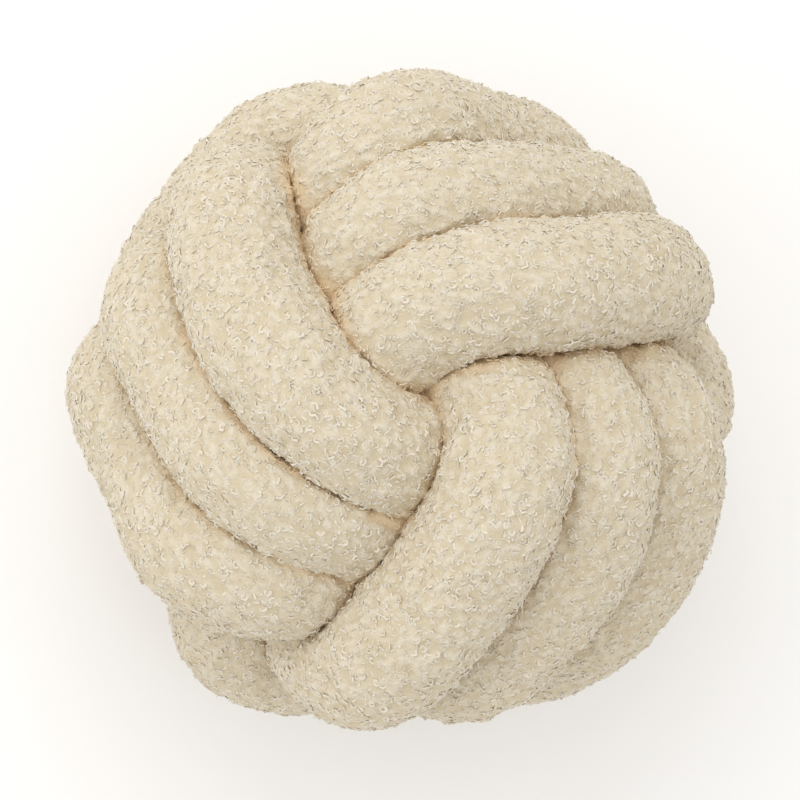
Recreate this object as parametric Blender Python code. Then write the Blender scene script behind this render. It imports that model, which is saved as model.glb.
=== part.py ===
"""Round knotted pillow, lying on its back.

One long stuffed tube of curly fleece is tied into a ball: three sets of three turns at right
angles to each other, each set passing over the next and under the one after it. The tube's two
ends are sewn together in the core, so the whole pillow is one endless filled tube. It lies on
the three strands around its lowest corner, which its weight presses flat.

Metres, +Z up. The knot is worked out along its own three axes, the normals of a cube whose six
faces each show three strands side by side. The cube then stands on a corner, so the opposite
corner, where three strands meet in a pinwheel, looks up.
"""
import math

import bpy
import numpy as np

# Whole pillow
ACROSS = 0.300              # widest side seen from above
FLATTENING = 0.91           # height of the lying ball against its width
PRESSED = 0.009             # how far its weight presses the lowest strands flat
PLAN_ANGLE = math.radians(181.8)   # turn of the first knot axis, seen from above

# Run of the tube, at the size that it is tied
TURN_RADIUS = 0.116         # from the ball's centre to the middle of an outer strand
EDGE_DROP = 0.44            # share of a ball's fall-off that the outer strands of a face follow
CORE_HALF = 0.066           # from the centre to a strand that crosses inside
OUTER_PITCH = 0.055         # between neighbouring strands on a face
CORE_PITCH = 0.034          # between them where they cross inside
SHIFT_PITCH = 0.030         # between them on the side where one turn steps to the next
CORNER_POWER = 6.0          # how squarely a turn dives from the face into the core
NARROW_START, NARROW_END = 0.715, 1.037   # share of the turn's reach where strands draw together
STEP_HALF = 0.14            # half the share of a turn in which it steps to the next lane
TURN_LANES = 3              # turns in each set
CUT_SHARE = 0.045           # share of a turn left out where one set is joined to the next
TUCK = 0.018                # how far the joining stretch is tucked in

# Tube
CROWN_RADIUS = 0.0338       # outwards
SIDE_RADIUS = 0.0315        # sideways, where nothing presses on it
CORE_RADIUS = 0.052         # inwards, where it fills the core
STRAND_GAP = 0.0014         # between strands that lie side by side
CROSSING_GAP = 0.006        # more where they cross at right angles
BEND_SHARE = 0.86           # share of the bend radius that the tube's inner side may use
ROUNDING = 14.0             # how crisply a strand changes from round to pressed
OWN_STRETCH = 0.095         # length along the tube that can't press on itself
REACH = 0.120               # farthest strand that can press on it

# Mesh
RINGS = 320
SIDES = 16
FINE_POINTS = 3000
PRESS_POINTS = 1500

# The three sets of turns: the axes of the face that the middle turn starts towards, of the side
# where it steps over, and across the lanes; the start angle; the way round; the first lane's side
SETS = (
    ((0, 1, 2), -90.0, 1, 1),
    ((1, 2, 0), 90.0, -1, -1),
    ((2, 0, 1), -90.0, -1, -1),
)

# Where tying by hand pulled the knot out of true: the direction from the centre along the knot's
# axes, and how far the strands there moved, in millimetres
PULLS = (
    ((1, 1, 1), (0, -1, -9)),
    ((1, -1, 1), (-15, 0, 31)),
    ((1, 1, -1), (20, 1, -12)),
    ((-1, 1, 1), (-6, -3, 4)),
    ((1, 1, 0), (-11, 8, 5)),
    ((0, 1, 1), (3, -2, 11)),
    ((1, 0, 1), (5, -9, -19)),
    ((1, -1, 0), (-5, 5, -1)),
    ((1, 0, -1), (-16, -8, 11)),
    ((0, 1, -1), (-1, -6, 0)),
    ((-1, 0, 1), (-7, -5, -7)),
    ((0, -1, 1), (-4, 13, -10)),
    ((1, 0, 0), (-3, -10, -1)),
    ((0, 1, 0), (-1, 5, -2)),
    ((0, 0, 1), (3, 5, 0)),
    ((0, 0, -1), (0, 0, 5)),
    ((-1, 1, 0), (-5, 5, 0)),
)
PULL_DISTANCE = 0.118       # of each pull's middle from the centre
PULL_REACH = 0.050          # how far around it strands follow

FLEECE_COLOUR = (0.66, 0.57, 0.42, 1.0)
FLEECE_ROUGHNESS = 0.95


def eased(share):
    """0 to 1 with a soft start and end."""
    share = np.clip(share, 0.0, 1.0)
    return share * share * (3.0 - 2.0 * share)


def unit(vectors):
    """The vectors at length 1."""
    return vectors / np.linalg.norm(vectors, axis=-1, keepdims=True)


def turns(axes, start_degrees, way, first_side, laps):
    """Middle line of one set of turns, at these numbers of laps from its start."""
    angle = np.radians(start_degrees + way * 360.0 * laps)
    across, along = np.cos(angle), np.sin(angle)
    steps = sum(eased((laps - n + STEP_HALF) / (2 * STEP_HALF)) for n in range(TURN_LANES + 1))
    lane = first_side * (steps - 2.0)
    step_side = eased(along * math.copysign(1.0, math.sin(math.radians(start_degrees))))
    inner_pitch = CORE_PITCH + (SHIFT_PITCH - CORE_PITCH) * step_side
    spread = eased((np.abs(across) - NARROW_START) / (NARROW_END - NARROW_START))
    pitch = inner_pitch + (OUTER_PITCH - inner_pitch) * spread
    out_by = np.minimum(np.abs(lane), 1.05) * OUTER_PITCH
    face = np.sqrt(TURN_RADIUS**2 - EDGE_DROP * out_by**2)
    distance = (np.abs(across / face) ** CORNER_POWER + np.abs(along / CORE_HALF) ** CORNER_POWER)
    distance = distance ** (-1.0 / CORNER_POWER)
    points = np.zeros((len(laps), 3))
    points[:, axes[0]] = distance * across
    points[:, axes[1]] = distance * along
    points[:, axes[2]] = lane * pitch
    return points


def bridge(start, start_way, end, end_way, count):
    """Smooth line from one point and direction to another, with both ends."""
    t = np.linspace(0.0, 1.0, count)[:, None]
    return (
        (2 * t**3 - 3 * t**2 + 1) * start
        + (t**3 - 2 * t**2 + t) * start_way
        + (3 * t**2 - 2 * t**3) * end
        + (t**3 - t**2) * end_way
    )


def joining(before, after):
    """The stretch through the core from the end of one set to the start of the next."""
    start, end = before[-1], after[0]
    start_way = unit(before[-1] - before[-2])
    end_way = unit(after[1] - after[0])
    middle = (start + end) / 2 + TUCK * (start_way - np.cross(start_way, end_way))
    middle_way = unit(end - start)
    first = np.linalg.norm(middle - start)
    second = np.linalg.norm(end - middle)
    return np.concatenate([
        bridge(start, start_way * first, middle, middle_way * first, 30)[1:],
        bridge(middle, middle_way * second, end, end_way * second, 30)[1:-1],
    ])


def evened(points, count):
    """The closed line again with its points at even distances, and its length."""
    closed = np.vstack([points, points[:1]])
    gone = np.concatenate([[0.0], np.cumsum(np.linalg.norm(np.diff(closed, axis=0), axis=1))])
    at = np.linspace(0.0, gone[-1], count, endpoint=False)
    return np.stack([np.interp(at, gone, closed[:, i]) for i in range(3)], axis=1), gone[-1]


def softened(values, width):
    """A closed row of values, each the weighted mean of its neighbours within about width."""
    offsets = np.arange(-int(3 * width) - 1, int(3 * width) + 2)
    weights = np.exp(-(offsets**2) / (2 * width * width))
    return sum(w * np.roll(values, k, axis=0) for k, w in zip(offsets, weights / weights.sum()))


def pulled(points):
    """The line with the unevenness of tying by hand."""
    moved = points.copy()
    for direction, shift in PULLS:
        middle = PULL_DISTANCE * unit(np.array(direction, dtype=float))
        near = np.exp(-((points - middle) ** 2).sum(axis=1) / (2 * PULL_REACH**2))
        moved = moved + near[:, None] * np.array(shift) / 1000.0
    return moved


def laid_down(points):
    """From the knot's axes to the lying pillow, with one corner of the knot up."""
    up = np.array([1.0, 1.0, 1.0]) / math.sqrt(3)
    side = np.array([2.0, -1.0, -1.0]) / math.sqrt(6)
    other = np.array([0.0, 1.0, -1.0]) / math.sqrt(2)
    c, s = math.cos(PLAN_ANGLE), math.sin(PLAN_ANGLE)
    placed = points @ np.stack([c * side - s * other, s * side + c * other, up]).T
    placed[:, 2] *= FLATTENING
    return placed


def middle_line():
    """The tube's whole endless middle line, in the lying pillow."""
    laps = np.linspace(CUT_SHARE, TURN_LANES - CUT_SHARE, 900)
    sets = [turns(*row, laps) for row in SETS]
    pieces = []
    for i, points in enumerate(sets):
        pieces += [points, joining(points, sets[(i + 1) % len(sets)])]
    line, _ = evened(np.concatenate(pieces), FINE_POINTS)
    return laid_down(pulled(softened(line, 6)))


def tube_points(rings, sides):
    """Points of the tube's cover, ring by ring, each strand pressed flat against the others."""
    line = middle_line()
    centres, length = evened(line, rings)
    others, _ = evened(line, PRESS_POINTS)
    step = length / rings
    ways = unit(np.roll(centres, -1, axis=0) - np.roll(centres, 1, axis=0))
    other_ways = unit(np.roll(others, -1, axis=0) - np.roll(others, 1, axis=0))
    away = unit(centres)
    outward = away - (away * ways).sum(axis=1, keepdims=True) * ways
    outward = softened(outward, max(0.6, 0.012 / step))
    outward = unit(outward - (outward * ways).sum(axis=1, keepdims=True) * ways)
    sideways = np.cross(ways, outward)
    turn = np.arange(sides) * 2 * math.pi / sides
    rays = (np.cos(turn)[None, :, None] * outward[:, None]
            + np.sin(turn)[None, :, None] * sideways[:, None])

    # how far a ray gets before it meets the strand next to it
    pressed = np.full((rings, sides), 1.0)
    at = np.arange(rings) * step
    other_at = np.arange(len(others)) * length / len(others)
    for i in range(rings):
        to_other = others - centres[i]
        far = np.linalg.norm(to_other, axis=1)
        along = np.abs(other_at - at[i])
        along = np.minimum(along, length - along)
        near = (far < REACH) & (along > OWN_STRETCH)
        if not near.any():
            continue
        facing = rays[i] @ (to_other[near] / far[near][:, None]).T
        crossing = 1.0 - np.abs(other_ways[near] @ ways[i])
        half = (far[near] - STRAND_GAP - CROSSING_GAP * crossing) / 2
        pressed[i] = np.where(facing > 0.02, half / np.maximum(facing, 0.02), 1.0).min(axis=1)

    # how far the inner side of a bend can bulge before it folds
    bend = np.roll(ways, -1, axis=0) - np.roll(ways, 1, axis=0)
    bend = softened(bend / (2 * step), max(0.6, 0.006 / step))
    bend = (rays * bend[:, None]).sum(axis=2)
    folded = np.where(bend > 0.01, BEND_SHARE / np.maximum(bend, 0.01), 1.0)

    # how far the filling pushes the cover where nothing is in its way
    deep = eased((0.93 * TURN_RADIUS - np.linalg.norm(centres, axis=1)) / (0.25 * TURN_RADIUS))
    deep = deep[:, None]
    sideways_share = (rays * sideways[:, None]).sum(axis=2) ** 2
    inward = np.clip(-(rays * away[:, None]).sum(axis=2), 0.0, 1.0)
    free = CROWN_RADIUS - (CROWN_RADIUS - SIDE_RADIUS) * sideways_share * (1.0 - deep)
    free = free + (CORE_RADIUS - CROWN_RADIUS) * deep * inward**1.5

    reach = (free**-ROUNDING + pressed**-ROUNDING + folded**-ROUNDING) ** (-1.0 / ROUNDING)
    return centres[:, None] + reach[:, :, None] * rays


def settled(points):
    """The pillow at its size, its lowest strands pressed flat on z = 0 and its box centred."""
    flat = points.reshape(-1, 3)
    flat = flat * (ACROSS / np.ptp(flat[:, :2], axis=0).max())
    flat[:, 2] = np.maximum(flat[:, 2] - flat[:, 2].min() - PRESSED, 0.0)
    flat[:, :2] -= (flat[:, :2].min(axis=0) + flat[:, :2].max(axis=0)) / 2
    return flat


def fleece():
    """Cream curly fleece."""
    material = bpy.data.materials.new("cream_curly_fleece")
    material.use_nodes = True
    shader = material.node_tree.nodes["Principled BSDF"]
    shader.inputs["Base Color"].default_value = FLEECE_COLOUR
    shader.inputs["Roughness"].default_value = FLEECE_ROUGHNESS
    shader.inputs["Metallic"].default_value = 0.0
    return material


def knotted_tube():
    """The stuffed tube as one closed solid."""
    points = settled(tube_points(RINGS, SIDES))
    faces = []
    for i in range(RINGS):
        following = (i + 1) % RINGS
        for j in range(SIDES):
            beside = (j + 1) % SIDES
            faces.append((
                i * SIDES + j,
                i * SIDES + beside,
                following * SIDES + beside,
                following * SIDES + j,
            ))
    mesh = bpy.data.meshes.new("knotted_tube")
    mesh.from_pydata(points.tolist(), [], faces)
    mesh.materials.append(fleece())
    mesh.shade_smooth()
    mesh.set_sharp_from_angle(angle=math.radians(60))
    tube = bpy.data.objects.new("knotted_tube", mesh)
    bpy.context.scene.collection.objects.link(tube)


for old in list(bpy.data.objects):
    bpy.data.objects.remove(old, do_unlink=True)
knotted_tube()
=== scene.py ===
"""Looks of the round knotted pillow, laid out as a Blender add-on and run as a script.

The pillow is one long stuffed tube of cream curly fleece, tied into a ball. Its cover follows the
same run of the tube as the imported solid, a pile's depth further in, and thousands of small curls
of yarn stand on it and reach out to the solid's surface.

Metres, +Z up. The knot is worked out along its own three axes, the normals of a cube whose six
faces each show three strands side by side. The cube then stands on a corner.
"""
import math

import bpy
import numpy as np
from bpy.props import FloatProperty, FloatVectorProperty, IntProperty, PointerProperty
from mathutils import Matrix, Vector, noise
from mathutils.bvhtree import BVHTree


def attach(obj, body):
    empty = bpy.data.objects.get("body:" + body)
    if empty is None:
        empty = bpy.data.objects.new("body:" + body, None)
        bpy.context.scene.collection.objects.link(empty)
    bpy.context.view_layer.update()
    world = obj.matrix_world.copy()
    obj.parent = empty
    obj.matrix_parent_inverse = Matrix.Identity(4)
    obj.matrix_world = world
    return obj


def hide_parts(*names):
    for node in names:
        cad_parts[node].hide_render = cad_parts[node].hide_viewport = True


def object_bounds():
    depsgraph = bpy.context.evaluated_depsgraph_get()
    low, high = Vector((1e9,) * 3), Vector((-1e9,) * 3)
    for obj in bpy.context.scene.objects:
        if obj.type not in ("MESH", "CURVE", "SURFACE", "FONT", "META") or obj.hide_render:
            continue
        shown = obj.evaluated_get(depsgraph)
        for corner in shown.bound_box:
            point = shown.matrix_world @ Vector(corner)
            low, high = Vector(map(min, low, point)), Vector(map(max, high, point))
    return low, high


bl_info = {
    "name": "Round knotted pillow",
    "version": (1, 0, 0),
    "blender": (4, 5, 0),
    "location": "3D View > Sidebar > Pillow",
    "description": "Makes the fleece cover, the curly pile and the studio of a round knotted pillow",
    "category": "Object",
}

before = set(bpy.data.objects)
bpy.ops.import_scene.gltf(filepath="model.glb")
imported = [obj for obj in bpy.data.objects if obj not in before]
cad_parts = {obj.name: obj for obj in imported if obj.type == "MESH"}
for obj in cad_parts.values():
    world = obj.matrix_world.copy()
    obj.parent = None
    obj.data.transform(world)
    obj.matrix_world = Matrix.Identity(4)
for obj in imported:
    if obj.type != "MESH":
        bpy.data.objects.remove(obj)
CAD_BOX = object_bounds()
BODY = "root"
NODE = "knotted_tube"

# Whole pillow, from the frame
ACROSS = max(CAD_BOX[1].x - CAD_BOX[0].x, CAD_BOX[1].y - CAD_BOX[0].y)
FLATTENING = 0.91           # height of the lying ball against its width
PRESSED = 0.009             # how far its weight presses the lowest strands flat
PLAN_ANGLE = math.radians(181.8)   # turn of the first knot axis, seen from above

# Run of the tube, at the size that it is tied
TURN_RADIUS = 0.116         # from the ball's centre to the middle of an outer strand
EDGE_DROP = 0.44            # share of a ball's fall-off that the outer strands of a face follow
EDGE_LANE = 1.05            # where that fall-off ends, in strands from the middle one
CORE_HALF = 0.066           # from the centre to a strand that crosses inside
OUTER_PITCH = 0.055         # between neighbouring strands on a face
CORE_PITCH = 0.034          # between them where they cross inside
SHIFT_PITCH = 0.030         # between them on the side where one turn steps to the next
CORNER_POWER = 6.0          # how squarely a turn dives from the face into the core
NARROW_START, NARROW_END = 0.715, 1.037   # share of the turn's reach where strands draw together
STEP_HALF = 0.14            # half the share of a turn in which it steps to the next lane
TURN_LANES = 3              # turns in each set
CUT_SHARE = 0.045           # share of a turn left out where one set is joined to the next
TUCK = 0.018                # how far the joining stretch is tucked in

# Tube
CROWN_RADIUS = 0.0338       # outwards
SIDE_RADIUS = 0.0315        # sideways, where nothing presses on it
CORE_RADIUS = 0.052         # inwards, where it fills the core
CORE_START = 0.93           # share of the turns' radius inside which it starts to fill the core
CORE_DEPTH = 0.25           # share over which it comes to fill it wholly
CORE_POWER = 1.5            # how narrowly it bulges inwards there
STRAND_OVERLAP = 0.0008     # how far the fleece of two strands meshes where they press
BEND_SHARE = 0.86           # share of the bend radius that the tube's inner side may use
ROUNDING = 24.0             # how crisply a strand changes from round to pressed
OWN_STRETCH = 0.095         # length along the tube that can't press on itself
REACH = 0.120               # farthest strand that can press on it
NO_LIMIT = 1.0              # a reach that nothing comes near
LEAST_FACING = 0.02         # cosine below which a ray runs past a neighbour
LEAST_BEND = 0.01           # in radians per metre, below which the tube counts as straight
OUTWARD_LENGTH = 0.012      # length of tube over which its outward side is evened
BEND_LENGTH = 0.006         # and over which its bend is
LEAST_WIDTH = 0.6           # in rings, of that evening

# Meshes
TURN_POINTS = 900           # on the line of one set of turns
JOINING_POINTS = 30         # on each half of a joining stretch
LINE_POINTS = 3000          # on the whole middle line
LINE_WIDTH = 6              # points over which it is evened
PRESS_POINTS = 1500         # on the line that presses on each ring
RINGS, SIDES = 1560, 64     # of the cover as it is worked out
FINE_RINGS, FINE_SIDES = 2800, 112   # and as it is made, closer together where it shows
FINER = 2.4                 # how much closer
SHOWING = 0.1               # open share of the ways out from which a point counts as showing
SIGHT_STEP = 2              # every second ring and side is tested for what shows
SIGHT_RAYS = 20
DENT_START, CLUMP_START = 3.0, 11.0   # where the chance of dents and of clumps starts
RESTING = 0.0025            # height below which the cover lies on the floor and needs no pile
GROUND_LIFT = 0.0008        # least height of the cover
PILE_LIFT = 0.0002          # and of the pile

# Fleece: its patterns' sizes, with the fibres a little coarser than real ones so that they show
SWIRL_SIZE = 0.0045         # of the swirls that shift the knobs
CRIMP_SIZE = 0.0030         # of those that bend the curls
FIBRE_SIZE = 0.0013
FIBRE_SWIRL = 0.0035        # size of the swirls that bend the fibres
FIBRE_SHIFT = 0.0022        # and how far they bend them
FIBRE_RELIEF = 0.0012       # how high the ground's fibres seem to stand
PATCH_SIZE = 0.030          # of the paler and the deeper patches of pile
TRIES = 3.0                 # places tried for a curl on each square of one spacing
YARN_SIDES = 3
CURL_POINTS = 7             # along the yarn of one curl
CURL_SIZES = 0.8, 1.25      # of the smallest and the largest curl, against the usual one
PILE_PIECES = 6
# Kinds of curl: how many turns, its end's width against its start, and its height
CURLS = ((0.42, 1.30, 0.80), (0.60, 0.70, 0.90), (0.85, 0.50, 1.10))

# The three sets of turns: the axes of the face that the middle turn starts towards, of the side
# where it steps over, and across the lanes; the start angle; the way round; the first lane's side
SETS = (
    ((0, 1, 2), -90.0, 1, 1),
    ((1, 2, 0), 90.0, -1, -1),
    ((2, 0, 1), -90.0, -1, -1),
)

# Where tying by hand pulled the knot out of true: the direction from the centre along the knot's
# axes, and how far the strands there moved, in millimetres
PULLS = (
    ((1, 1, 1), (0, -1, -9)),
    ((1, -1, 1), (-15, 0, 31)),
    ((1, 1, -1), (20, 1, -12)),
    ((-1, 1, 1), (-6, -3, 4)),
    ((1, 1, 0), (-11, 8, 5)),
    ((0, 1, 1), (3, -2, 11)),
    ((1, 0, 1), (5, -9, -19)),
    ((1, -1, 0), (-5, 5, -1)),
    ((1, 0, -1), (-16, -8, 11)),
    ((0, 1, -1), (-1, -6, 0)),
    ((-1, 0, 1), (-7, -5, -7)),
    ((0, -1, 1), (-4, 13, -10)),
    ((1, 0, 0), (-3, -10, -1)),
    ((0, 1, 0), (-1, 5, -2)),
    ((0, 0, 1), (3, 5, 0)),
    ((0, 0, -1), (0, 0, 5)),
    ((-1, 1, 0), (-5, 5, 0)),
)
PULL_DISTANCE = 0.118       # of each pull's middle from the centre
PULL_REACH = 0.050          # how far around it strands follow

# Camera: how far the photograph looks past straight down, and its framing on 800 x 800 pixels
LOOK_ACROSS, LOOK_ALONG = 0.165, 0.041
CAMERA_DISTANCE = 1.173
PHOTO_PIXELS = 800
PILLOW_PIXELS = 686         # that the pillow's width takes up at that distance
RIGHT_PIXELS, DOWN_PIXELS = 10.3, 1.0   # from the picture's middle to the pillow's
SENSOR = 36.0               # millimetres

# Stage
FLOOR_HALF = 3.0
KEY_PLACE, KEY_SIZE = (-0.30, 0.95, 1.25), 1.0
SIDE_PLACE, SIDE_SIZE = (-1.1, 0.1, 1.0), 0.9
SKY_TINT = (1.0, 0.995, 0.985, 1.0)   # hardly warmer than white


def linear(code):
    """The linear red, green and blue of an sRGB hex colour."""
    parts = [int(code[i:i + 2], 16) / 255 for i in (0, 2, 4)]
    return tuple(p / 12.92 if p <= 0.04045 else ((p + 0.055) / 1.055) ** 2.4 for p in parts)


def add(tree, kind, settings=None, inputs=None):
    """Adds a node with its settings. Each input is a value or the socket that feeds it."""
    node = tree.nodes.new(kind)
    for name, value in (settings or {}).items():
        setattr(node, name, value)
    for name, value in (inputs or {}).items():
        if isinstance(value, bpy.types.NodeSocket):
            tree.links.new(value, node.inputs[name])
        else:
            node.inputs[name].default_value = value
    return node


def new_material(name):
    """An empty node material and its output node."""
    material = bpy.data.materials.new(name)
    material.use_nodes = True
    material.node_tree.nodes.clear()
    return material, add(material.node_tree, "ShaderNodeOutputMaterial")


# Run of the tube

def eased(share):
    """0 to 1 with a soft start and end."""
    share = np.clip(share, 0.0, 1.0)
    return share * share * (3.0 - 2.0 * share)


def unit(vectors):
    """The vectors at length 1."""
    return vectors / np.linalg.norm(vectors, axis=-1, keepdims=True)


def turns(axes, start_degrees, way, first_side, laps):
    """Middle line of one set of turns, at these numbers of laps from its start."""
    angle = np.radians(start_degrees + way * 360.0 * laps)
    across, along = np.cos(angle), np.sin(angle)
    steps = sum(eased((laps - n + STEP_HALF) / (2 * STEP_HALF)) for n in range(TURN_LANES + 1))
    lane = first_side * (steps - (TURN_LANES + 1) / 2)
    step_side = eased(along * math.copysign(1.0, math.sin(math.radians(start_degrees))))
    inner_pitch = CORE_PITCH + (SHIFT_PITCH - CORE_PITCH) * step_side
    spread = eased((np.abs(across) - NARROW_START) / (NARROW_END - NARROW_START))
    pitch = inner_pitch + (OUTER_PITCH - inner_pitch) * spread
    out_by = np.minimum(np.abs(lane), EDGE_LANE) * OUTER_PITCH
    face = np.sqrt(TURN_RADIUS**2 - EDGE_DROP * out_by**2)
    distance = (np.abs(across / face) ** CORNER_POWER + np.abs(along / CORE_HALF) ** CORNER_POWER)
    distance = distance ** (-1.0 / CORNER_POWER)
    points = np.zeros((len(laps), 3))
    points[:, axes[0]] = distance * across
    points[:, axes[1]] = distance * along
    points[:, axes[2]] = lane * pitch
    return points


def bridge(start, start_way, end, end_way):
    """Smooth line from one point and direction to another, with both ends."""
    t = np.linspace(0.0, 1.0, JOINING_POINTS)[:, None]
    return (
        (2 * t**3 - 3 * t**2 + 1) * start
        + (t**3 - 2 * t**2 + t) * start_way
        + (3 * t**2 - 2 * t**3) * end
        + (t**3 - t**2) * end_way
    )


def joining(before, after):
    """The stretch through the core from the end of one set to the start of the next."""
    start, end = before[-1], after[0]
    start_way = unit(before[-1] - before[-2])
    end_way = unit(after[1] - after[0])
    middle = (start + end) / 2 + TUCK * (start_way - np.cross(start_way, end_way))
    middle_way = unit(end - start)
    first = np.linalg.norm(middle - start)
    second = np.linalg.norm(end - middle)
    return np.concatenate([
        bridge(start, start_way * first, middle, middle_way * first)[1:],
        bridge(middle, middle_way * second, end, end_way * second)[1:-1],
    ])


def evened(points, count):
    """The closed line again with its points at even distances, and its length."""
    closed = np.vstack([points, points[:1]])
    gone = np.concatenate([[0.0], np.cumsum(np.linalg.norm(np.diff(closed, axis=0), axis=1))])
    at = np.linspace(0.0, gone[-1], count, endpoint=False)
    return np.stack([np.interp(at, gone, closed[:, i]) for i in range(3)], axis=1), gone[-1]


def softened(values, width):
    """A closed row of values, each the weighted mean of its neighbours within about width."""
    offsets = np.arange(-int(3 * width) - 1, int(3 * width) + 2)
    weights = np.exp(-(offsets**2) / (2 * width * width))
    return sum(w * np.roll(values, k, axis=0) for k, w in zip(offsets, weights / weights.sum()))


def pulled(points):
    """The line with the unevenness of tying by hand."""
    moved = points.copy()
    for direction, shift in PULLS:
        middle = PULL_DISTANCE * unit(np.array(direction, dtype=float))
        near = np.exp(-((points - middle) ** 2).sum(axis=1) / (2 * PULL_REACH**2))
        moved = moved + near[:, None] * np.array(shift) / 1000.0
    return moved


def laid_down(points):
    """From the knot's axes to the lying pillow, with one corner of the knot up."""
    up = np.array([1.0, 1.0, 1.0]) / math.sqrt(3)
    side = np.array([2.0, -1.0, -1.0]) / math.sqrt(6)
    other = np.array([0.0, 1.0, -1.0]) / math.sqrt(2)
    c, s = math.cos(PLAN_ANGLE), math.sin(PLAN_ANGLE)
    placed = points @ np.stack([c * side - s * other, s * side + c * other, up]).T
    placed[:, 2] *= FLATTENING
    return placed


def middle_line():
    """The tube's whole endless middle line, in the lying pillow."""
    laps = np.linspace(CUT_SHARE, TURN_LANES - CUT_SHARE, TURN_POINTS)
    sets = [turns(*row, laps) for row in SETS]
    pieces = []
    for i, points in enumerate(sets):
        pieces += [points, joining(points, sets[(i + 1) % len(sets)])]
    line, _ = evened(np.concatenate(pieces), LINE_POINTS)
    return laid_down(pulled(softened(line, LINE_WIDTH)))


def tube_points(rings, sides, pile_depth):
    """The tube's middle points, which way its sides lie from each, and how far off their ground is."""
    line = middle_line()
    centres, length = evened(line, rings)
    others, _ = evened(line, PRESS_POINTS)
    step = length / rings
    ways = unit(np.roll(centres, -1, axis=0) - np.roll(centres, 1, axis=0))
    away = unit(centres)
    outward = away - (away * ways).sum(axis=1, keepdims=True) * ways
    outward = softened(outward, max(LEAST_WIDTH, OUTWARD_LENGTH / step))
    outward = unit(outward - (outward * ways).sum(axis=1, keepdims=True) * ways)
    sideways = np.cross(ways, outward)
    turn = np.arange(sides) * 2 * math.pi / sides
    rays = (np.cos(turn)[None, :, None] * outward[:, None]
            + np.sin(turn)[None, :, None] * sideways[:, None])

    # how far a ray gets before it meets the strand next to it
    pressed = np.full((rings, sides), NO_LIMIT)
    at = np.arange(rings) * step
    other_at = np.arange(len(others)) * length / len(others)
    for i in range(rings):
        to_other = others - centres[i]
        far = np.linalg.norm(to_other, axis=1)
        along = np.abs(other_at - at[i])
        along = np.minimum(along, length - along)
        near = (far < REACH) & (along > OWN_STRETCH)
        if not near.any():
            continue
        facing = rays[i] @ (to_other[near] / far[near][:, None]).T
        meeting = (far[near] + STRAND_OVERLAP) / 2 / np.maximum(facing, LEAST_FACING)
        pressed[i] = np.where(facing > LEAST_FACING, meeting, NO_LIMIT).min(axis=1)

    # how far the inner side of a bend can bulge before it folds
    bend = np.roll(ways, -1, axis=0) - np.roll(ways, 1, axis=0)
    bend = softened(bend / (2 * step), max(LEAST_WIDTH, BEND_LENGTH / step))
    bend = (rays * bend[:, None]).sum(axis=2)
    folded = np.where(bend > LEAST_BEND, BEND_SHARE / np.maximum(bend, LEAST_BEND), NO_LIMIT)

    # how far the filling pushes the cover where nothing is in its way
    deep = CORE_START * TURN_RADIUS - np.linalg.norm(centres, axis=1)
    deep = eased(deep / (CORE_DEPTH * TURN_RADIUS))[:, None]
    sideways_share = (rays * sideways[:, None]).sum(axis=2) ** 2
    inward = np.clip(-(rays * away[:, None]).sum(axis=2), 0.0, 1.0)
    free = CROWN_RADIUS - (CROWN_RADIUS - SIDE_RADIUS) * sideways_share * (1.0 - deep)
    free = free + (CORE_RADIUS - CROWN_RADIUS) * deep * inward**CORE_POWER - pile_depth

    reach = (free**-ROUNDING + pressed**-ROUNDING + folded**-ROUNDING) ** (-1.0 / ROUNDING)
    return centres, rays, reach


def settled(points, tops):
    """Points of the tied knot at the pillow's size and place, where the pile's tops lie on z = 0."""
    flat = tops.reshape(-1, 3)
    scale = ACROSS / np.ptp(flat[:, :2], axis=0).max()
    low = flat[:, 2].min() * scale + PRESSED
    middle = (flat[:, :2].min(axis=0) + flat[:, :2].max(axis=0)) / 2 * scale
    placed = points * scale
    placed[..., 2] = placed[..., 2] - low
    placed[..., :2] -= middle
    return placed


# Cover

def dented(points, size, depth, start):
    """A height for each point, of soft hollows and swells about this wide."""
    shift = Vector((start, 2 * start, -start))
    return np.array([depth * noise.noise(Vector(p) / size + shift) for p in points])


def cover_grid(sizes):
    """Points of the fleece's ground, ring by ring, a pile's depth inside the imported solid."""
    centres, rays, reach = tube_points(RINGS, SIDES, sizes.pile_depth)
    ground = centres[:, None] + reach[:, :, None] * rays
    tops = centres[:, None] + (reach + sizes.pile_depth)[:, :, None] * rays
    return settled(ground, tops)


def resampled(rows, at):
    """Values of a closed run of rows at fractional row numbers, on a smooth curve through them."""
    first = np.floor(at).astype(int)
    share = (at - first).reshape(-1, *[1] * (rows.ndim - 1))
    before, start, end, after = (rows[(first + k) % len(rows)] for k in (-1, 0, 1, 2))
    cubic = 3 * (start - end) + after - before
    square = 2 * before - 5 * start + 4 * end - after
    return start + 0.5 * share * (end - before + share * (square + share * cubic))


def closer(showing, count):
    """Fractional row numbers for this many rows, closer together where a row shows."""
    weights = softened(1.0 + (FINER - 1.0) * eased(showing / SHOWING), 2.0)
    gone = np.concatenate([[0.0], np.cumsum(weights)])
    return np.interp(np.linspace(0.0, gone[-1], count, endpoint=False), gone, np.arange(len(gone)))


def finer(grid, showing):
    """The cover's grid and how much each point shows, on a finer grid where they show."""
    rows = closer(showing.max(axis=1), FINE_RINGS)
    columns = closer(showing.max(axis=0), FINE_SIDES)
    grid, showing = resampled(grid, rows), resampled(showing, rows)
    grid = resampled(grid.transpose(1, 0, 2), columns).transpose(1, 0, 2)
    return grid, np.clip(resampled(showing.T, columns).T, 0.0, 1.0)


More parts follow.
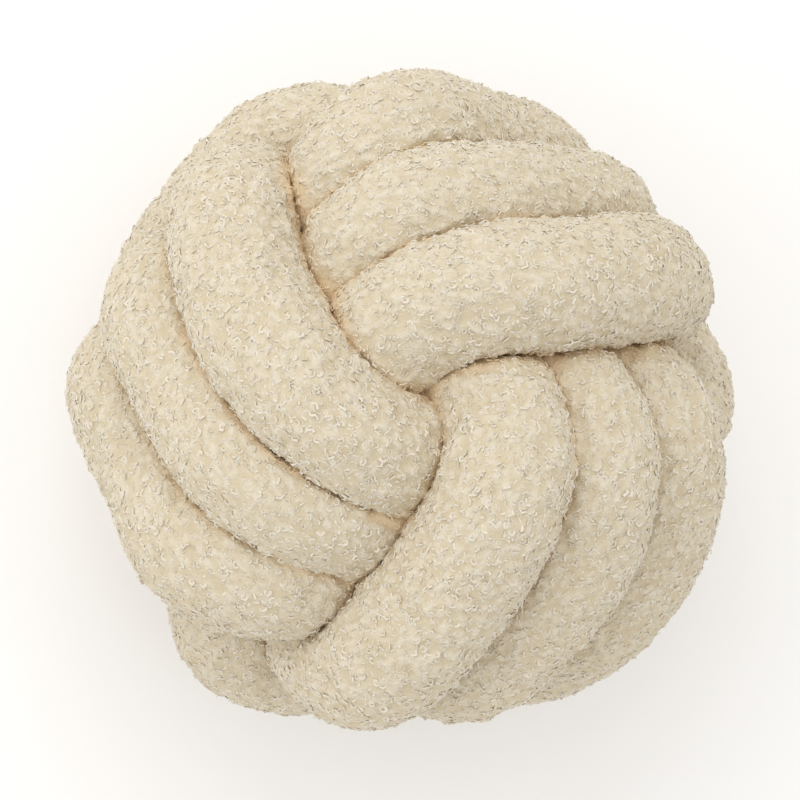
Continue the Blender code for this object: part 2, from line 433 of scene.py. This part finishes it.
def grid_mesh(name, grid, closed):
    """A mesh of rings of points: closed end to end, or an open stretch."""
    rings, sides = grid.shape[:2]
    first = np.arange(rings if closed else rings - 1)[:, None] * sides
    following = (first + sides) % (rings * sides)
    side = np.arange(sides)[None]
    beside = (side + 1) % sides
    corners = [first + side, first + beside, following + beside, following + side]
    faces = np.stack(np.broadcast_arrays(*corners), axis=-1).reshape(-1, 4)
    mesh = bpy.data.meshes.new(name)
    mesh.from_pydata(grid.reshape(-1, 3).tolist(), [], faces.tolist())
    mesh.shade_smooth()
    return mesh


def marked(mesh, openness):
    """The mesh with how much each of its points shows."""
    attribute = mesh.attributes.new("openness", "FLOAT", "POINT")
    attribute.data.foreach_set("value", openness.ravel())
    return mesh


def normals_of(mesh):
    """Its vertex normals as an array."""
    normals = np.zeros(len(mesh.vertices) * 3, np.float32)
    mesh.vertex_normals.foreach_get("vector", normals)
    return normals.reshape(-1, 3).astype(float)


def ways_round(count):
    """Unit vectors spread evenly over a half ball about +Z."""
    k = np.arange(count) + 0.5
    height = 1.0 - k / count
    turn = k * math.pi * (3.0 - math.sqrt(5.0))
    flat = np.sqrt(1.0 - height**2)
    return np.stack([flat * np.cos(turn), flat * np.sin(turn), height], axis=1)


def in_sight(grid, normals, mesh, lift):
    """For each point, the share of the ways out that no other strand blocks."""
    points = grid[::SIGHT_STEP, ::SIGHT_STEP].reshape(-1, 3)
    normals = normals.reshape(grid.shape)[::SIGHT_STEP, ::SIGHT_STEP].reshape(-1, 3)
    tree = BVHTree.FromPolygons(
        [v.co for v in mesh.vertices], [p.vertices[:] for p in mesh.polygons])
    half_ball = ways_round(SIGHT_RAYS)
    share = np.zeros(len(points))
    for i, (point, normal) in enumerate(zip(points, normals)):
        turned = np.array(Vector(normal).to_track_quat("Z", "X").to_matrix())
        start = Vector(point + lift * normal)
        blocked = sum(tree.ray_cast(start, Vector(way))[0] is not None for way in half_ball @ turned.T)
        share[i] = 1.0 - blocked / SIGHT_RAYS
    coarse = share.reshape(grid.shape[0] // SIGHT_STEP, grid.shape[1] // SIGHT_STEP)
    fine = np.repeat(np.repeat(coarse, SIGHT_STEP, axis=0), SIGHT_STEP, axis=1)
    fine = softened(fine, 1.0)
    return softened(fine.T, 1.0).T


# Materials

def shaded_in_crevices(tree, colour, look):
    """The colour, turned to a painted warm shade where it lies deep between two strands."""
    # painted shade: the less open a point is, the more of the warm crevice tint it takes
    openness = add(tree, "ShaderNodeAttribute", {"attribute_name": "openness"})
    share = add(tree, "ShaderNodeMapRange", {"interpolation_type": "SMOOTHSTEP"}, {
        "Value": openness.outputs["Fac"], "From Min": 0.05, "From Max": 0.60})
    mixed = add(tree, "ShaderNodeMix", {"data_type": "RGBA"}, {
        0: share.outputs["Result"], 6: (*look.crevice_shade_colour, 1.0), 7: colour})
    return mixed.outputs[2]


def fibre_height(tree):
    """How high the fleece's fibres stand at a point, 0 to 1, a little coarser than real to show."""
    place = add(tree, "ShaderNodeTexCoord").outputs["Object"]
    bend = add(tree, "ShaderNodeTexNoise", None, {
        "Vector": place, "Scale": 1 / FIBRE_SWIRL, "Detail": 2.0})
    swirled = add(tree, "ShaderNodeMix", {"data_type": "VECTOR"}, {
        0: FIBRE_SHIFT, 4: place, 5: bend.outputs["Color"]})
    fibres = add(tree, "ShaderNodeTexNoise", None, {
        "Vector": swirled.outputs[1], "Scale": 1 / FIBRE_SIZE, "Detail": 2.0})
    share = add(tree, "ShaderNodeMapRange", None, {
        "Value": fibres.outputs["Fac"], "From Min": 0.25, "From Max": 0.75})
    return share.outputs["Result"]


def ground_material(look):
    """Fleece ground: polyester curls packed so closely that they read as a soft matt surface.

    It is seen only between the standing curls, so it is painted a little darker and warmer than they are,
    as shade.
    """
    material, output = new_material("curly_fleece_ground")
    tree = material.node_tree
    knobs = add(tree, "ShaderNodeAttribute", {"attribute_name": "knob"})
    height = add(tree, "ShaderNodeMath", {"operation": "MULTIPLY_ADD"}, {
        0: fibre_height(tree), 1: 0.6, 2: -0.25})
    height = add(tree, "ShaderNodeMath", {"operation": "ADD", "use_clamp": True}, {
        0: height.outputs[0], 1: knobs.outputs["Fac"]}).outputs[0]
    # painted shade: the ground's shade colour in the pits between knobs and fibres, the root colour on
    # their tops
    tone = add(tree, "ShaderNodeMix", {"data_type": "RGBA"}, {
        0: height, 6: (*look.ground_shade_colour, 1.0), 7: (*look.root_shade_colour, 1.0)})
    relief = add(tree, "ShaderNodeBump", None, {
        "Strength": look.ground_bump, "Distance": FIBRE_RELIEF, "Height": height})
    shader = add(tree, "ShaderNodeBsdfPrincipled", None, {
        "Base Color": shaded_in_crevices(tree, tone.outputs[2], look), "Normal": relief.outputs["Normal"],
        "Roughness": 0.9, "IOR": 1.5, "Specular IOR Level": 0.1})
    tree.links.new(shader.outputs["BSDF"], output.inputs["Surface"])
    return material


def curl_material(look):
    """Polyester bouclé yarn: each curl a slightly different cream, paler at its top, with painted shade
    lower down.

    The yarn's fibres point every way, so it has next to no shine. The tone of a curl and how far
    a point stands above the ground are stored on the pile's points.
    """
    material, output = new_material("curly_fleece_curls")
    tree = material.node_tree
    place = add(tree, "ShaderNodeTexCoord").outputs["Object"]
    tone = add(tree, "ShaderNodeAttribute", {"attribute_name": "tone"})
    lift = add(tree, "ShaderNodeAttribute", {"attribute_name": "lift"})
    patches = add(tree, "ShaderNodeTexNoise", None, {
        "Vector": place, "Scale": 1 / PATCH_SIZE, "Detail": 2.0})
    height = add(tree, "ShaderNodeMath", {"operation": "MULTIPLY_ADD"}, {
        0: fibre_height(tree), 1: 0.7, 2: -0.2})
    height = add(tree, "ShaderNodeMath", {"operation": "ADD", "use_clamp": True}, {
        0: height.outputs[0], 1: lift.outputs["Fac"]})
    # painted shade: darker towards a curl's root, paler at its top, by how far it stands above the ground
    shade = add(tree, "ShaderNodeMix", {"data_type": "RGBA"}, {
        0: height.outputs[0], 6: (*look.root_shade_colour, 1.0), 7: (*look.tip_light_colour, 1.0)})
    brightness = add(tree, "ShaderNodeMapRange", None, {
        "Value": tone.outputs["Fac"], "To Min": 0.95, "To Max": 1.03})
    patchy = add(tree, "ShaderNodeMapRange", None, {
        "Value": patches.outputs["Fac"], "From Min": 0.3, "From Max": 0.7, "To Min": 0.96, "To Max": 1.03})
    both = add(tree, "ShaderNodeMath", {"operation": "MULTIPLY"}, {
        0: brightness.outputs["Result"], 1: patchy.outputs["Result"]})
    toned = add(tree, "ShaderNodeVectorMath", {"operation": "SCALE"}, {
        0: shaded_in_crevices(tree, shade.outputs[2], look), "Scale": both.outputs[0]})
    shader = add(tree, "ShaderNodeBsdfPrincipled", None, {
        "Base Color": toned.outputs[0], "Roughness": 0.7, "IOR": 1.5, "Specular IOR Level": 0.05})
    tree.links.new(shader.outputs["BSDF"], output.inputs["Surface"])
    return material


# Node trees

def surface_tree(name, inputs):
    """Geometry Nodes that take a surface, these inputs and a material, with their two end nodes."""
    tree = bpy.data.node_groups.new(name, "GeometryNodeTree")
    tree.interface.new_socket("Geometry", in_out="OUTPUT", socket_type="NodeSocketGeometry")
    for label, kind in {"Geometry": "Geometry", **inputs, "Material": "Material"}.items():
        tree.interface.new_socket(label, in_out="INPUT", socket_type="NodeSocket" + kind)
    return tree, add(tree, "NodeGroupInput").outputs, add(tree, "NodeGroupOutput")


def shift_by_chance(tree, size, most):
    """A shift for each point, in swirls of this size, by up to half of most each way."""
    place = add(tree, "GeometryNodeInputPosition").outputs[0]
    swirls = add(tree, "ShaderNodeTexNoise", None, {"Vector": place, "Scale": 1 / size, "Detail": 1.0})
    centred = add(tree, "ShaderNodeVectorMath", {"operation": "SUBTRACT"}, {
        0: swirls.outputs["Color"], 1: (0.5, 0.5, 0.5)})
    shift = add(tree, "ShaderNodeVectorMath", {"operation": "SCALE"}, {
        0: centred.outputs[0], "Scale": most})
    return shift.outputs[0]


def end_tree(tree, geometry, least_height, material, output):
    """The end of a tree: nothing lower than this, all of it real mesh, and the material on it."""
    at = add(tree, "ShaderNodeSeparateXYZ", None, {0: add(tree, "GeometryNodeInputPosition").outputs[0]})
    above = add(tree, "ShaderNodeMath", {"operation": "MAXIMUM"}, {0: at.outputs["Z"], 1: least_height})
    kept = add(tree, "ShaderNodeCombineXYZ", None, {
        "X": at.outputs["X"], "Y": at.outputs["Y"], "Z": above.outputs[0]})
    floored = add(tree, "GeometryNodeSetPosition", None, {
        "Geometry": geometry, "Position": kept.outputs[0]})
    real = add(tree, "GeometryNodeRealizeInstances", None, {"Geometry": floored.outputs["Geometry"]})
    dressed = add(tree, "GeometryNodeSetMaterial", None, {
        "Geometry": real.outputs["Geometry"], "Material": material})
    tree.links.new(dressed.outputs["Geometry"], output.inputs["Geometry"])


def relief_tree():
    """Geometry Nodes that raise a surface into the small knobs of curly fleece."""
    sizes = dict.fromkeys(("Knob Width", "Knob Height", "Swirl"), "Float")
    tree, given, output = surface_tree("fleece_relief", sizes)
    place = add(tree, "GeometryNodeInputPosition").outputs[0]
    swirled = add(tree, "ShaderNodeVectorMath", {"operation": "ADD"}, {
        0: place, 1: shift_by_chance(tree, SWIRL_SIZE, given["Swirl"])})
    scale = add(tree, "ShaderNodeMath", {"operation": "DIVIDE"}, {0: 1.0, 1: given["Knob Width"]})
    knobs = add(tree, "ShaderNodeTexVoronoi", {"feature": "SMOOTH_F1"}, {
        "Vector": swirled.outputs[0], "Scale": scale.outputs[0], "Smoothness": 0.35})
    height = add(tree, "ShaderNodeMath", {"operation": "SUBTRACT"}, {0: 0.5, 1: knobs.outputs["Distance"]})
    raised = add(tree, "ShaderNodeMath", {"operation": "MULTIPLY"}, {
        0: height.outputs[0], 1: given["Knob Height"]})
    outwards = add(tree, "ShaderNodeVectorMath", {"operation": "SCALE"}, {
        0: add(tree, "GeometryNodeInputNormal").outputs[0], "Scale": raised.outputs[0]})
    # how near a knob's top a point lies, with which the ground's colour paints shade into the pits
    share = add(tree, "ShaderNodeMapRange", None, {
        "Value": knobs.outputs["Distance"], "From Min": 0.65, "From Max": 0.15})
    knobbed = add(tree, "GeometryNodeStoreNamedAttribute", {"data_type": "FLOAT", "domain": "POINT"}, {
        "Geometry": given["Geometry"], "Name": "knob", "Value": share.outputs["Result"]})
    moved = add(tree, "GeometryNodeSetPosition", None, {
        "Geometry": knobbed.outputs["Geometry"], "Offset": outwards.outputs[0]})
    end_tree(tree, moved.outputs["Geometry"], GROUND_LIFT, given["Material"], output)
    return tree


def curl_kinds(tree, given):
    """One instance of each kind of curl, its root sunk below the surface."""
    across = add(tree, "ShaderNodeMath", {"operation": "MULTIPLY"}, {0: given["Curl Width"], 1: 0.5})
    thick = add(tree, "ShaderNodeMath", {"operation": "MULTIPLY"}, {0: given["Yarn Thickness"], 1: 0.5})
    yarn = add(tree, "GeometryNodeCurvePrimitiveCircle", None, {
        "Resolution": YARN_SIDES, "Radius": thick.outputs[0]})
    deeper = add(tree, "ShaderNodeMath", {"operation": "MULTIPLY"}, {0: given["Sinking"], 1: -1.0})
    down = add(tree, "ShaderNodeCombineXYZ", None, {"Z": deeper.outputs[0]})
    here = add(tree, "ShaderNodeSeparateXYZ", None, {0: add(tree, "GeometryNodeInputPosition").outputs[0]})
    kinds = add(tree, "GeometryNodeGeometryToInstance")
    for rotations, narrowing, rise in CURLS:
        end = add(tree, "ShaderNodeMath", {"operation": "MULTIPLY"}, {0: across.outputs[0], 1: narrowing})
        height = add(tree, "ShaderNodeMath", {"operation": "MULTIPLY"}, {0: given["Curl Height"], 1: rise})
        spiral = add(tree, "GeometryNodeCurveSpiral", None, {
            "Resolution": CURL_POINTS, "Rotations": rotations, "Start Radius": across.outputs[0],
            "End Radius": end.outputs[0], "Height": height.outputs[0]})
        curl = add(tree, "GeometryNodeCurveToMesh", None, {
            "Curve": spiral.outputs["Curve"], "Profile Curve": yarn.outputs["Curve"], "Fill Caps": True})
        share = add(tree, "ShaderNodeMath", {"operation": "DIVIDE", "use_clamp": True}, {
            0: here.outputs["Z"], 1: height.outputs[0]})
        lifted = add(tree, "GeometryNodeStoreNamedAttribute", {"data_type": "FLOAT", "domain": "POINT"}, {
            "Geometry": curl.outputs["Mesh"], "Name": "lift", "Value": share.outputs[0]})
        sunk = add(tree, "GeometryNodeTransform", None, {
            "Geometry": lifted.outputs["Geometry"], "Translation": down.outputs[0]})
        tree.links.new(sunk.outputs["Geometry"], kinds.inputs["Geometry"])
    return kinds.outputs["Instances"]


def pile_tree():
    """Geometry Nodes that stand small curls of yarn all over a surface."""
    sizes = ("Spacing", "Curl Width", "Curl Height", "Yarn Thickness", "Sinking", "Flatness", "Lean",
             "Unevenness")
    tree, given, output = surface_tree("curly_pile", {**dict.fromkeys(sizes, "Float"), "Seed": "Int"})

    # where curls stand: closely but unevenly, and only where the ground shows
    openness = add(tree, "GeometryNodeInputNamedAttribute", {"data_type": "FLOAT"}, {"Name": "openness"})
    shows = add(tree, "ShaderNodeMapRange", None, {
        "Value": openness.outputs["Attribute"], "From Min": 0.01, "From Max": 0.12})
    area = add(tree, "ShaderNodeMath", {"operation": "MULTIPLY"}, {
        0: given["Spacing"], 1: given["Spacing"]})
    density = add(tree, "ShaderNodeMath", {"operation": "DIVIDE"}, {0: TRIES, 1: area.outputs[0]})
    spots = add(tree, "GeometryNodeDistributePointsOnFaces", {"distribute_method": "POISSON"}, {
        "Mesh": given["Geometry"], "Distance Min": given["Spacing"], "Density Max": density.outputs[0],
        "Density Factor": shows.outputs["Result"], "Seed": given["Seed"]})
    any_tone = add(tree, "FunctionNodeRandomValue", {"data_type": "FLOAT"}, {8: given["Seed"]})
    toned = add(tree, "GeometryNodeStoreNamedAttribute", {"data_type": "FLOAT", "domain": "POINT"}, {
        "Geometry": spots.outputs["Points"], "Name": "tone", "Value": any_tone.outputs[1]})

    # each one turned, leaning and sized by chance
    back = add(tree, "ShaderNodeMath", {"operation": "MULTIPLY"}, {0: given["Lean"], 1: -1.0})
    least = add(tree, "ShaderNodeCombineXYZ", None, {0: back.outputs[0], 1: back.outputs[0], 2: -math.pi})
    most = add(tree, "ShaderNodeCombineXYZ", None, {0: given["Lean"], 1: given["Lean"], 2: math.pi})
    turn = add(tree, "FunctionNodeRandomValue", {"data_type": "FLOAT_VECTOR"}, {
        0: least.outputs[0], 1: most.outputs[0], 8: given["Seed"]})
    turned = add(tree, "FunctionNodeRotateRotation", {"rotation_space": "LOCAL"}, {
        "Rotation": spots.outputs["Rotation"], "Rotate By": turn.outputs[0]})
    kind = add(tree, "FunctionNodeRandomValue", {"data_type": "INT"}, {
        4: 0, 5: len(CURLS) - 1, 8: given["Seed"]})
    size = add(tree, "FunctionNodeRandomValue", {"data_type": "FLOAT"}, {
        2: CURL_SIZES[0], 3: CURL_SIZES[1], 8: given["Seed"]}).outputs[1]
    low = add(tree, "ShaderNodeMath", {"operation": "MULTIPLY"}, {0: size, 1: given["Flatness"]})
    scale = add(tree, "ShaderNodeCombineXYZ", None, {0: size, 1: size, 2: low.outputs[0]})
    placed = add(tree, "GeometryNodeInstanceOnPoints", None, {
        "Points": toned.outputs["Geometry"], "Instance": curl_kinds(tree, given),
        "Pick Instance": True, "Instance Index": kind.outputs[2],
        "Rotation": turned.outputs["Rotation"], "Scale": scale.outputs[0]})

    # no two curls alike, their thin yarn in flat facets, and none through the floor
    real = add(tree, "GeometryNodeRealizeInstances", None, {"Geometry": placed.outputs["Instances"]})
    crimped = add(tree, "GeometryNodeSetPosition", None, {
        "Geometry": real.outputs["Geometry"],
        "Offset": shift_by_chance(tree, CRIMP_SIZE, given["Unevenness"])})
    faceted = add(tree, "GeometryNodeSetShadeSmooth", None, {
        "Geometry": crimped.outputs["Geometry"], "Shade Smooth": False})
    end_tree(tree, faceted.outputs["Geometry"], PILE_LIFT, given["Material"], output)
    return tree


def with_nodes(thing, tree, values, name):
    """The object's mesh as the nodes make it with these values."""
    modifier = thing.modifiers.new(tree.name, "NODES")
    modifier.node_group = tree
    for socket in tree.interface.items_tree:
        if socket.in_out == "INPUT" and socket.name in values:
            modifier[socket.identifier] = values[socket.name]
    graph = bpy.context.evaluated_depsgraph_get()
    mesh = bpy.data.meshes.new_from_object(thing.evaluated_get(graph))
    mesh.name = name
    thing.modifiers.remove(modifier)
    return mesh


def linked(name, mesh):
    """A new object for the mesh, in the scene."""
    thing = bpy.data.objects.new(name, mesh)
    bpy.context.scene.collection.objects.link(thing)
    return thing


# Settings that a user would change

class CoverSettings(bpy.types.PropertyGroup):
    """Sizes of the fleece cover."""

    pile_depth: FloatProperty(
        name="Pile depth", description="From the cover's ground to the curls' tops",
        default=0.0020, min=0.0005, max=0.006, unit="LENGTH", precision=4)
    dent_depth: FloatProperty(
        name="Dents", description="Depth of the soft dents in the stuffing",
        default=0.0016, min=0.0, max=0.01, unit="LENGTH", precision=4)
    dent_width: FloatProperty(
        name="Dent width", description="How wide the soft dents are",
        default=0.034, min=0.01, max=0.2, unit="LENGTH", precision=4)
    clump_depth: FloatProperty(
        name="Clumps", description="How far clumps of pile stand out",
        default=0.0013, min=0.0, max=0.004, unit="LENGTH", precision=4)
    clump_width: FloatProperty(
        name="Clump width", description="How wide the clumps of pile are",
        default=0.009, min=0.003, max=0.03, unit="LENGTH", precision=4)
    knob_height: FloatProperty(
        name="Knob height", description="How far the fleece's knobs stand out",
        default=0.0022, min=0.0, max=0.004, unit="LENGTH", precision=4)
    knob_width: FloatProperty(
        name="Knob width", description="How wide the fleece's knobs are",
        default=0.0040, min=0.002, max=0.02, unit="LENGTH", precision=4)
    swirl: FloatProperty(
        name="Swirl", description="How far chance shifts the knobs",
        default=0.004, min=0.0, max=0.02, unit="LENGTH", precision=4)


class PileSettings(bpy.types.PropertyGroup):
    """Sizes and colours of the curls of yarn."""

    spacing: FloatProperty(
        name="Spacing", description="Least distance between two curls",
        default=0.0022, min=0.001, max=0.01, unit="LENGTH", precision=4)
    curl_width: FloatProperty(
        name="Curl width", description="Across one curl",
        default=0.0028, min=0.001, max=0.01, unit="LENGTH", precision=4)
    curl_height: FloatProperty(
        name="Curl height", description="How far a curl stands up",
        default=0.0007, min=0.0003, max=0.01, unit="LENGTH", precision=4)
    yarn_thickness: FloatProperty(
        name="Yarn thickness", description="Thickness of the yarn in a curl",
        default=0.0010, min=0.0003, max=0.003, unit="LENGTH", precision=5)
    sinking: FloatProperty(
        name="Sinking", description="How deep a curl's root lies in the ground",
        default=0.00040, min=0.0, max=0.003, unit="LENGTH", precision=5)
    flatness: FloatProperty(
        name="Flatness", description="A curl's height against its own, as the pile lies",
        default=0.45, min=0.1, max=1.5)
    lean: FloatProperty(
        name="Lean", description="How far a curl leans at most",
        default=0.4, min=0.0, max=1.5, subtype="ANGLE")
    unevenness: FloatProperty(
        name="Unevenness", description="How far chance bends a curl",
        default=0.0020, min=0.0, max=0.006, unit="LENGTH", precision=4)
    ground_bump: FloatProperty(
        name="Ground bump", description="How strongly the ground's fine curls catch the light",
        default=0.5, min=0.0, max=2.0)
    seed: IntProperty(name="Seed", description="Chance start of the pile", default=5, min=0)
    # painted light: the curls' tops paler than their roots
    tip_light_colour: FloatVectorProperty(
        name="Tip colour", description="Colour of the curls' tops",
        default=linear("DCD5C7"), subtype="COLOR", size=3, min=0.0, max=1.0)
    # the pile's cream with painted shade, deep in the pile and at the curls' roots
    root_shade_colour: FloatVectorProperty(
        name="Root colour", description="Colour deep in the pile",
        default=linear("DBD2BF"), subtype="COLOR", size=3, min=0.0, max=1.0)
    # painted shade: the ground between the curls, darkest in the pits
    ground_shade_colour: FloatVectorProperty(
        name="Ground colour", description="Colour of the ground between the curls",
        default=linear("CEC0A4"), subtype="COLOR", size=3, min=0.0, max=1.0)
    # painted shade: the warm tint that light takes on deep between two strands
    crevice_shade_colour: FloatVectorProperty(
        name="Crevice colour", description="Colour deep between two strands",
        default=linear("DFC9A7"), subtype="COLOR", size=3, min=0.0, max=1.0)


class StudioSettings(bpy.types.PropertyGroup):
    """Floor and light."""

    floor_colour: FloatVectorProperty(
        name="Floor colour", description="Colour of the plain floor",
        default=linear("F7F6F5"), subtype="COLOR", size=3, min=0.0, max=1.0)
    key_power: FloatProperty(
        name="Key light", description="Power of the large soft light",
        default=5.0, min=0.0, unit="POWER")
    side_power: FloatProperty(
        name="Side light", description="Power of the light from the side",
        default=2.5, min=0.0, unit="POWER")
    sky_strength: FloatProperty(
        name="Surrounding light", description="Strength of the even light from all around",
        default=0.98, min=0.0)


# What makes the pieces

class PILLOW_OT_cover(bpy.types.Operator):
    """Makes the stuffed cover's ground in place of the plain solid"""

    bl_idname = "pillow.cover"
    bl_label = "Make fleece cover"

    def execute(self, context):
        sizes = context.scene.pillow_cover
        grid = cover_grid(sizes)
        mesh = grid_mesh("smooth_cover", grid, True)
        points = grid.reshape(-1, 3)
        heights = dented(points, sizes.dent_width, sizes.dent_depth, DENT_START)
        heights += dented(points, sizes.clump_width, sizes.clump_depth, CLUMP_START)
        points = points + heights[:, None] * normals_of(mesh)
        mesh.vertices.foreach_set("co", points.ravel())
        mesh.update()
        grid = points.reshape(grid.shape)
        showing = in_sight(grid, normals_of(mesh), mesh, sizes.pile_depth)
        bpy.data.meshes.remove(mesh)
        grid, showing = finer(grid, np.where(grid[..., 2] < RESTING, 0.0, showing))
        plain = marked(grid_mesh("plain_cover", grid, True), showing)
        cover = linked("fleece_cover", plain)
        cover.data = with_nodes(cover, relief_tree(), {
            "Knob Width": sizes.knob_width, "Knob Height": sizes.knob_height, "Swirl": sizes.swirl,
            "Material": ground_material(context.scene.pillow_pile),
        }, "fleece_cover")
        bpy.data.meshes.remove(plain)
        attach(cover, BODY)
        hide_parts(NODE)
        return {"FINISHED"}


class PILLOW_OT_pile(bpy.types.Operator):
    """Stands the curls of yarn on the cover, in a few stretches of the tube"""

    bl_idname = "pillow.pile"
    bl_label = "Make curly pile"

    def execute(self, context):
        look = context.scene.pillow_pile
        cover = bpy.data.objects["fleece_cover"].data
        points = np.zeros(len(cover.vertices) * 3)
        cover.vertices.foreach_get("co", points)
        grid = points.reshape(FINE_RINGS, FINE_SIDES, 3)
        openness = np.zeros(len(cover.vertices))
        cover.attributes["openness"].data.foreach_get("value", openness)
        openness = openness.reshape(FINE_RINGS, FINE_SIDES)
        tree = pile_tree()
        values = {
            "Spacing": look.spacing, "Curl Width": look.curl_width, "Curl Height": look.curl_height,
            "Yarn Thickness": look.yarn_thickness, "Sinking": look.sinking, "Flatness": look.flatness,
            "Lean": look.lean, "Unevenness": look.unevenness, "Material": curl_material(look),
        }
        edges = np.linspace(0, FINE_RINGS, PILE_PIECES + 1).astype(int)
        for number, (start, end) in enumerate(zip(edges, edges[1:]), 1):
            name = f"curly_pile_{number}"
            rows = np.arange(start, end + 1) % FINE_RINGS
            stretch = marked(grid_mesh("stretch", grid[rows], False), openness[rows])
            pile = linked(name, stretch)
            pile.data = with_nodes(pile, tree, {**values, "Seed": look.seed + number}, name)
            bpy.data.meshes.remove(stretch)
            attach(pile, BODY)
        return {"FINISHED"}


class PILLOW_OT_studio(bpy.types.Operator):
    """Makes the floor, the soft lights and the camera"""

    bl_idname = "pillow.studio"
    bl_label = "Make studio"

    def execute(self, context):
        studio = context.scene.pillow_studio
        make_floor(studio)
        make_lights(studio)
        make_camera(context.scene)
        context.scene.view_settings.view_transform = "Standard"
        return {"FINISHED"}


class PILLOW_PT_sidebar(bpy.types.Panel):
    """Lists the pillow's settings and what makes each piece"""

    bl_idname = "PILLOW_PT_sidebar"
    bl_label = "Round knotted pillow"
    bl_space_type = "VIEW_3D"
    bl_region_type = "UI"
    bl_category = "Pillow"

    def draw(self, context):
        rows = (
            (context.scene.pillow_cover, PILLOW_OT_cover),
            (context.scene.pillow_pile, PILLOW_OT_pile),
            (context.scene.pillow_studio, PILLOW_OT_studio),
        )
        for settings, maker in rows:
            box = self.layout.box()
            for name in settings.bl_rna.properties.keys():
                if name not in ("rna_type", "name"):
                    box.prop(settings, name)
            box.operator(maker.bl_idname)


# Studio

def make_floor(studio):
    """A plain floor of matt pale paint, which shows only soft shadows."""
    corners = [(x * FLOOR_HALF, y * FLOOR_HALF, 0) for x, y in ((-1, -1), (1, -1), (1, 1), (-1, 1))]
    mesh = bpy.data.meshes.new("floor")
    mesh.from_pydata(corners, [], [(0, 1, 2, 3)])
    material, output = new_material("matt_pale_floor")
    tree = material.node_tree
    shader = add(tree, "ShaderNodeBsdfPrincipled", None, {
        "Base Color": (*studio.floor_colour, 1.0), "Roughness": 0.8, "Specular IOR Level": 0.1})
    tree.links.new(shader.outputs["BSDF"], output.inputs["Surface"])
    mesh.materials.append(material)
    linked("floor", mesh)


def make_lights(studio):
    """A large soft light over the top of the picture, a weaker one beside it, and an even sky."""
    for name, place, size, power in (
        ("key_light", KEY_PLACE, KEY_SIZE, studio.key_power),
        ("side_light", SIDE_PLACE, SIDE_SIZE, studio.side_power),
    ):
        data = bpy.data.lights.new(name, "AREA")
        data.size = size
        data.energy = power
        light = linked(name, data)
        light.location = place
        light.rotation_euler = (-Vector(place)).to_track_quat("-Z", "Y").to_euler()
    world = bpy.data.worlds.new("soft_sky")
    world.use_nodes = True
    sky = world.node_tree.nodes["Background"]
    sky.inputs["Color"].default_value = SKY_TINT
    sky.inputs["Strength"].default_value = studio.sky_strength
    bpy.context.scene.world = world


def make_camera(scene):
    """The photograph's view: from above, a little left of and below the pillow's middle."""
    low, high = CAD_BOX
    back = Vector((-LOOK_ACROSS, -LOOK_ALONG, math.sqrt(1 - LOOK_ACROSS**2 - LOOK_ALONG**2)))
    right = Vector((0, 1, 0)).cross(back).normalized()
    up = back.cross(right)
    data = bpy.data.cameras.new("photo_camera")
    data.sensor_width = SENSOR
    data.lens = PILLOW_PIXELS / PHOTO_PIXELS * CAMERA_DISTANCE / ACROSS * SENSOR
    data.shift_x = -RIGHT_PIXELS / PHOTO_PIXELS
    data.shift_y = DOWN_PIXELS / PHOTO_PIXELS
    camera = linked("photo_camera", data)
    turn = Matrix((right, up, back)).transposed().to_4x4()
    camera.matrix_world = Matrix.Translation((low + high) / 2 + back * CAMERA_DISTANCE) @ turn
    scene.camera = camera


CLASSES = (
    CoverSettings,
    PileSettings,
    StudioSettings,
    PILLOW_OT_cover,
    PILLOW_OT_pile,
    PILLOW_OT_studio,
    PILLOW_PT_sidebar,
)


def register():
    for item in CLASSES:
        bpy.utils.register_class(item)
    bpy.types.Scene.pillow_cover = PointerProperty(type=CoverSettings)
    bpy.types.Scene.pillow_pile = PointerProperty(type=PileSettings)
    bpy.types.Scene.pillow_studio = PointerProperty(type=StudioSettings)


def unregister():
    del bpy.types.Scene.pillow_studio
    del bpy.types.Scene.pillow_pile
    del bpy.types.Scene.pillow_cover
    for item in reversed(CLASSES):
        bpy.utils.unregister_class(item)


def main():
    register()
    bpy.ops.pillow.cover()
    bpy.ops.pillow.pile()
    bpy.ops.pillow.studio()


if __name__ == "__main__":
    main()
